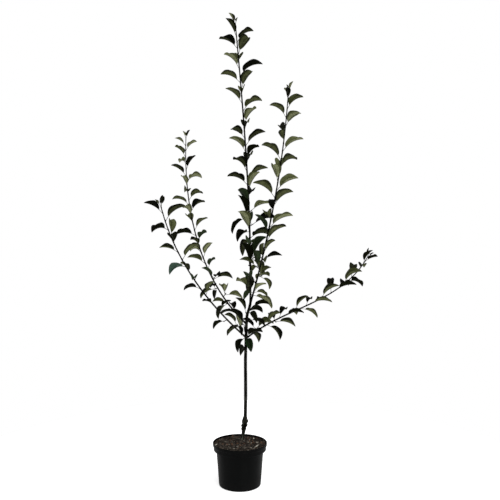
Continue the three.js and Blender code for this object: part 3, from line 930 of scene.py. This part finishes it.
for name, rule in SPURS.items():
    for start, end, thrown in grow_spurs(wood[name], **rule):
        is_free = has_room([end], taken_wood, SPUR_SPACE) and has_room([end], taken_leaves, LEAF_SPACE)
        leaves = grow_leaves(thrown) if is_free else []
        if leaves:
            taken_leaves.append(end)
            leaves_on[name] += leaves
            stem = Line([start, end], lambda t: SPUR["radius"])
            twigs_on[name].loft(wood_rings(stem, 0, 1, SPUR_RING_STEP, TWIG_SIDES, spur_girth))
            twigs_on[name].loft(bud(end, unit(end - start), **SPUR_BUD), BUD_TONE)

twig_finishes = []
for tone_name, (shade, tone) in TWIG_TONES.items():
    rind = Finish(tone_name, specular_ior_level=0.01)
    fleck = rind.grain(700, 3, (1, 1, 0.4))
    rind.wear(
        base_color=rind.mix(rind.above(fleck, 0.35, 0.68), shade, tone),
        roughness=0.55 + 0.2 * fleck,
        normal=rind.bump(fleck, 0.0003),
    )
    twig_finishes.append(rind)
masses_on = {}
for name in wood:
    starts = (f"{name}_shoot", f"{name}_spur_")
    masses_on[name] = [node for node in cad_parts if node.startswith(starts)]
for name, shape in twigs_on.items():
    piece = shape.build(f"{name}_twigs", *twig_finishes)
    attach(piece, "root")
    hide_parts(*masses_on[name])


# --------------------------------------------------------------------------- the leaves
# An apple leaf is a tough oval blade, finely toothed, folded up along its midrib and arched over, dark and
# satin above and downy grey-green below, quilted between its side veins, on a short grooved stalk.
ACROSS = np.array([1, 0.9, 0.76, 0.6, 0.42, 0.24, 0.07, 0, -0.07, -0.24, -0.42, -0.6, -0.76, -0.9, -1])
ROUND_BLADE = np.concatenate([ACROSS, ACROSS[-2:0:-1]])
ROUND_STALK = np.radians([*np.linspace(0, 180, len(ACROSS)), *np.linspace(180, 360, len(ACROSS))[1:-1]])
EDGE = np.abs(ROUND_BLADE)
IS_FACE = np.arange(len(ROUND_BLADE)) < len(ACROSS)
STALK_SHARES = (0, 0.25, 0.5, 0.75, 0.97)
BLADE_SHARES = np.linspace(0.015, 1, 46)
FIRST_TOOTH, LAST_TOOTH = 0.06, 0.97
TOOTHED = (-1) ** np.arange(len(BLADE_SHARES)) * ((FIRST_TOOTH < BLADE_SHARES) & (BLADE_SHARES < LAST_TOOTH))
RIB_HALF = 0.06
STALK = {"radius": 1.0, "root": 1.35, "flare": 0.35, "fall": 3, "least": 0.6}
BLADE = {
    "skin": 0.2, "rib": 0.85, "rib_taper": 0.8, "groove": 0.25, "narrowest": 0.35, "point": 0.3,
    "spring": 14, "teeth": 0.018, "uneven": (0.2, 1.8), "quilt": 1.52, "quilted": 3, "veins": 8,
    "sweep": 1.7, "wave": 2.4, "waves": 9,
}


def stalk_ring(centre, side, up, share, radius):
    """A ring round a leaf's stalk, which is a little swollen at its root."""
    girth = radius * (STALK["root"] - STALK["flare"] * min(1, share * STALK["fall"]))
    return centre + (np.outer(np.cos(ROUND_STALK), side) + np.outer(np.sin(ROUND_STALK), up)) * girth


def blade_ring(centre, side, up, share, leaf, radius, tooth, wave_at):
    """A ring round a leaf's blade, over its face one way and back under it, with the midrib's ridge below."""
    width = max(half_width(share, leaf["size"]) * (1 - BLADE["point"] * share**5), BLADE["narrowest"])
    half = width * (1 + tooth * (EDGE == 1))
    lean = leaf["fold"] + math.radians(BLADE["spring"]) * (1 - EDGE)
    rib = radius * BLADE["rib"] * (1 - share) ** BLADE["rib_taper"] * (EDGE < RIB_HALF)
    skin = np.where(IS_FACE, BLADE["skin"] - BLADE["groove"] * rib, -BLADE["skin"] - rib)
    skin = skin * (EDGE < 1) * min(1, width / 2)
    furrows = np.cos(2 * math.pi * (BLADE["veins"] * share - BLADE["sweep"] * EDGE))
    quilt = BLADE["quilt"] * furrows * EDGE * (1 - EDGE) * (half > BLADE["quilted"])
    wave = BLADE["wave"] * np.sin(BLADE["waves"] * share + wave_at) * EDGE**2 * math.sin(math.pi * share)
    rise = half * EDGE * np.sin(lean) + skin + (wave - quilt) * leaf["size"]
    return centre + np.outer(half * ROUND_BLADE * np.cos(lean), side) + np.outer(rise, up)


def leaf_rings(leaf, leaf_draw):
    """Rings round a leaf from its stalk's root to its tip, with waves and teeth of its own."""
    radius = STALK["radius"] * (STALK["least"] + (1 - STALK["least"]) * leaf["size"])
    left_wave, right_wave = leaf_draw.uniform(0, 2 * math.pi, 2)
    wave_at = np.where(ROUND_BLADE > 0, left_wave, right_wave)
    teeth = BLADE["teeth"] * leaf_draw.uniform(*BLADE["uneven"], len(BLADE_SHARES)) * TOOTHED
    stations = list(zip(*midrib(leaf, STALK_SHARES, BLADE_SHARES)))
    rings = [stalk_ring(*station, share, radius) for station, share in zip(stations, STALK_SHARES)]
    for station, share, tooth in zip(stations[len(STALK_SHARES):], BLADE_SHARES, teeth):
        rings.append(blade_ring(*station, share, leaf, radius, tooth, wave_at))
    return np.array(rings)


# The near-black upper tone is painted shade and the light olive one is painted light; dark green and olive are
# the leaf's own greens.
UPPER_TONES = {
    "leaf_near_black": ((0.0006, 0.0008, 0.0002), (0.0030, 0.0038, 0.0009)),
    "leaf_dark_green": ((0.0060, 0.0070, 0.0030), (0.0205, 0.0235, 0.0105)),
    "leaf_olive": ((0.0240, 0.0290, 0.0095), (0.0680, 0.0785, 0.0265)),
    "leaf_light_olive": ((0.0760, 0.0875, 0.0310), (0.1700, 0.1870, 0.0820)),
    "leaf_deep_green": ((0.0024, 0.0074, 0.0020), (0.0110, 0.0270, 0.0085)),
    "leaf_blue_green": ((0.0260, 0.0500, 0.0360), (0.0640, 0.1050, 0.0780)),
    "leaf_mid_green": ((0.0120, 0.0205, 0.0080), (0.0390, 0.0600, 0.0255)),
}
# The dark and deep undersides are painted shade and the pale underside is painted light; the plain underside is
# the leaf's own downy grey-green.
UNDER_TONES = {
    "leaf_underside_dark": ((0.0014, 0.0017, 0.0005), (0.0090, 0.0103, 0.0036)),
    "leaf_underside_deep": ((0.0150, 0.0175, 0.0070), (0.0560, 0.0625, 0.0275)),
    "leaf_underside": ((0.0500, 0.0565, 0.0210), (0.1400, 0.1540, 0.0700)),
    "leaf_underside_pale": ((0.1700, 0.1840, 0.0830), (0.3400, 0.3600, 0.2050)),
}
STALK_TONES = {"leaf_stalk": ((0.0150, 0.0160, 0.0110), (0.0700, 0.0740, 0.0560))}
LEAF_TONES = UPPER_TONES | UNDER_TONES | STALK_TONES
# The tones of each look's face, its back, the outer part of its back, and its edge. The darker outer back and
# edge are painted shade along the margin; the two near-black looks are painted shade and the light olive look
# is painted light on whole leaves.
LOOKS = {
    "painted_shade_black": ("leaf_near_black", "leaf_underside_dark", "leaf_underside_dark", "leaf_near_black"),
    "painted_shade_black_green": ("leaf_near_black", "leaf_underside_deep", "leaf_underside_dark", "leaf_near_black"),
    "dark_green": ("leaf_dark_green", "leaf_underside", "leaf_underside_deep", "leaf_near_black"),
    "olive": ("leaf_olive", "leaf_underside", "leaf_underside_deep", "leaf_dark_green"),
    "olive_painted_lit": ("leaf_light_olive", "leaf_underside_pale", "leaf_underside", "leaf_olive"),
    "deep_green": ("leaf_deep_green", "leaf_underside_deep", "leaf_underside_dark", "leaf_deep_green"),
    "blue_green": ("leaf_blue_green", "leaf_blue_green", "leaf_blue_green", "leaf_deep_green"),
    "mid_green": ("leaf_mid_green", "leaf_mid_green", "leaf_mid_green", "leaf_dark_green"),
}
# The share of each look, in the order above, among the leaves of the trunk and of each limb. These shares paint
# light and shade by limb: right_upper, lit from the upper right, takes mostly the olive and painted light
# looks, and left_outer mostly the painted shade looks.
TINTS = {
    "leader": {"seed": 1, "shares": (0.12, 0.22, 0.24, 0.18, 0.24, 0, 0, 0)},
    "right_upper": {"seed": 4, "shares": (0.02, 0.08, 0.22, 0.34, 0.34, 0, 0, 0)},
    "left_inner": {"seed": 11, "shares": (0.18, 0.20, 0.22, 0.18, 0.22, 0, 0, 0)},
    "left_outer": {"seed": 12, "shares": (0.30, 0.26, 0.26, 0.10, 0.08, 0, 0, 0)},
    "right_low": {"seed": 5, "shares": (0.18, 0.20, 0.28, 0.26, 0.08, 0, 0, 0)},
    "trunk": {"seed": 1, "shares": (0.36, 0.30, 0.22, 0.06, 0, 0.06, 0, 0)},
}
# The leaves, by number on their limb, that have a look of their own.
OWN_LOOKS = {
    "leader": {3: "mid_green", 31: "mid_green", 35: "mid_green", 36: "mid_green", 41: "mid_green"},
    "right_upper": {4: "mid_green", 24: "mid_green", 30: "mid_green"},
    "left_inner": {3: "mid_green", 8: "mid_green", 38: "mid_green"},
    "left_outer": {5: "mid_green", 7: "blue_green"},
    # right_low's two tip leaves take the near-black look as painted shade.
    "right_low": {19: "painted_shade_black", 20: "painted_shade_black"},
    "trunk": {3: "deep_green"},
}
# Past these shares of the half width, the outer back and the edge take darker tones as painted shade.
PAINTED_SHADE_BACK_RIM_FROM = 0.6
PAINTED_SHADE_EDGE_FROM = 0.85


def strip_tones(face, back, painted_shade_back_rim, edge):
    """The number of the finish on each strip round a blade, from one edge over its face and back under it, with
    painted shade on the outer part of its back and along its edge.
    """
    places = np.abs(np.concatenate([ACROSS, ACROSS[-2::-1]]))
    middles = (places[1:] + places[:-1]) / 2
    is_face = np.arange(len(middles)) < len(ACROSS) - 1
    number = {name: i for i, name in enumerate(LEAF_TONES)}
    tones = np.where(is_face, number[face], number[back])
    tones[~is_face & (middles > PAINTED_SHADE_BACK_RIM_FROM)] = number[painted_shade_back_rim]
    tones[middles > PAINTED_SHADE_EDGE_FROM] = number[edge]
    tones[middles < RIB_HALF] = number["leaf_stalk"]
    return tones


leaf_finishes = []
for tone_name, (shade, tone) in LEAF_TONES.items():
    blade = Finish(tone_name, specular_ior_level=0.02)
    cells = blade.grain(900, 3)
    patches = blade.grain(70, 3)
    blade.wear(
        base_color=blade.mix(blade.above(0.5 * cells + 0.5 * patches, 0.36, 0.64), shade, tone),
        roughness=(0.36 if tone_name in UPPER_TONES else 0.7) + 0.2 * cells,
        normal=blade.bump(cells, 0.00025),
    )
    leaf_finishes.append(blade)

for name, leaves in leaves_on.items():
    shape = Shape()
    leaf_draw = np.random.default_rng(TINTS[name]["seed"])
    for k, leaf in enumerate(leaves):
        rings = leaf_rings(leaf, leaf_draw)
        drawn = leaf_draw.choice(list(LOOKS), p=TINTS[name]["shares"])
        finish = np.full((len(rings) - 1, rings.shape[1]), len(LEAF_TONES) - 1)
        finish[len(STALK_SHARES):] = strip_tones(*LOOKS[OWN_LOOKS[name].get(k, drawn)])
        shape.loft(rings, finish)
    piece = shape.build(f"{name}_leaves", *leaf_finishes)
    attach(piece, "root")
    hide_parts(*masses_on[name])


# --------------------------------------------------------------------------- the studio
# The tree stands on a plain white sweep that glows a little, lit by one broad soft light from high on the
# right and by a dimmer room, and the camera looks level at half of its height.
SWEEP_RADIUS = 1.4
SWEEP_GLOW = 0.55
ROOM_STRENGTH = 0.4
SOFT_LIGHT = {"strength": 2.4, "spread": 80, "lean": (35, 0, 35)}
CAMERA = {"place": (42, -2500, 975), "lens": 43.2, "sensor": 36}

bpy.ops.mesh.primitive_circle_add(vertices=96, radius=SWEEP_RADIUS, fill_type="NGON")
floor = bpy.context.object
floor.name = "floor"
paper = Finish("white_sweep", specular_ior_level=0)
paper.wear(base_color=(0.92, 0.92, 0.92), roughness=1, emission_color=(1, 1, 1), emission_strength=SWEEP_GLOW)
floor.data.materials.append(paper.material)

world = bpy.data.worlds.new("white_room")
world.use_nodes = True
bpy.context.scene.world = world
room = world.node_tree
lighting = room.nodes["Background"]
lighting.inputs["Color"].default_value = (1, 1, 1, 1)
lighting.inputs["Strength"].default_value = ROOM_STRENGTH
backdrop = room.nodes.new("ShaderNodeBackground")
backdrop.inputs["Color"].default_value = (1, 1, 1, 1)
seen = room.nodes.new("ShaderNodeLightPath")
either = room.nodes.new("ShaderNodeMixShader")
room.links.new(seen.outputs["Is Camera Ray"], either.inputs[0])
room.links.new(lighting.outputs[0], either.inputs[1])
room.links.new(backdrop.outputs[0], either.inputs[2])
room.links.new(either.outputs[0], room.nodes["World Output"].inputs["Surface"])

light = bpy.data.lights.new("soft_light", "SUN")
light.energy = SOFT_LIGHT["strength"]
light.angle = math.radians(SOFT_LIGHT["spread"])
soft_light = bpy.data.objects.new("soft_light", light)
soft_light.rotation_euler = [math.radians(turn) for turn in SOFT_LIGHT["lean"]]
bpy.context.collection.objects.link(soft_light)

view = bpy.data.cameras.new("camera")
view.lens = CAMERA["lens"]
view.sensor_width = CAMERA["sensor"]
camera = bpy.data.objects.new("camera", view)
camera.location = [value / 1000 for value in CAMERA["place"]]
camera.rotation_euler = (math.radians(90), 0, 0)
bpy.context.collection.objects.link(camera)
bpy.context.scene.camera = camera
bpy.context.scene.view_settings.view_transform = "Standard"
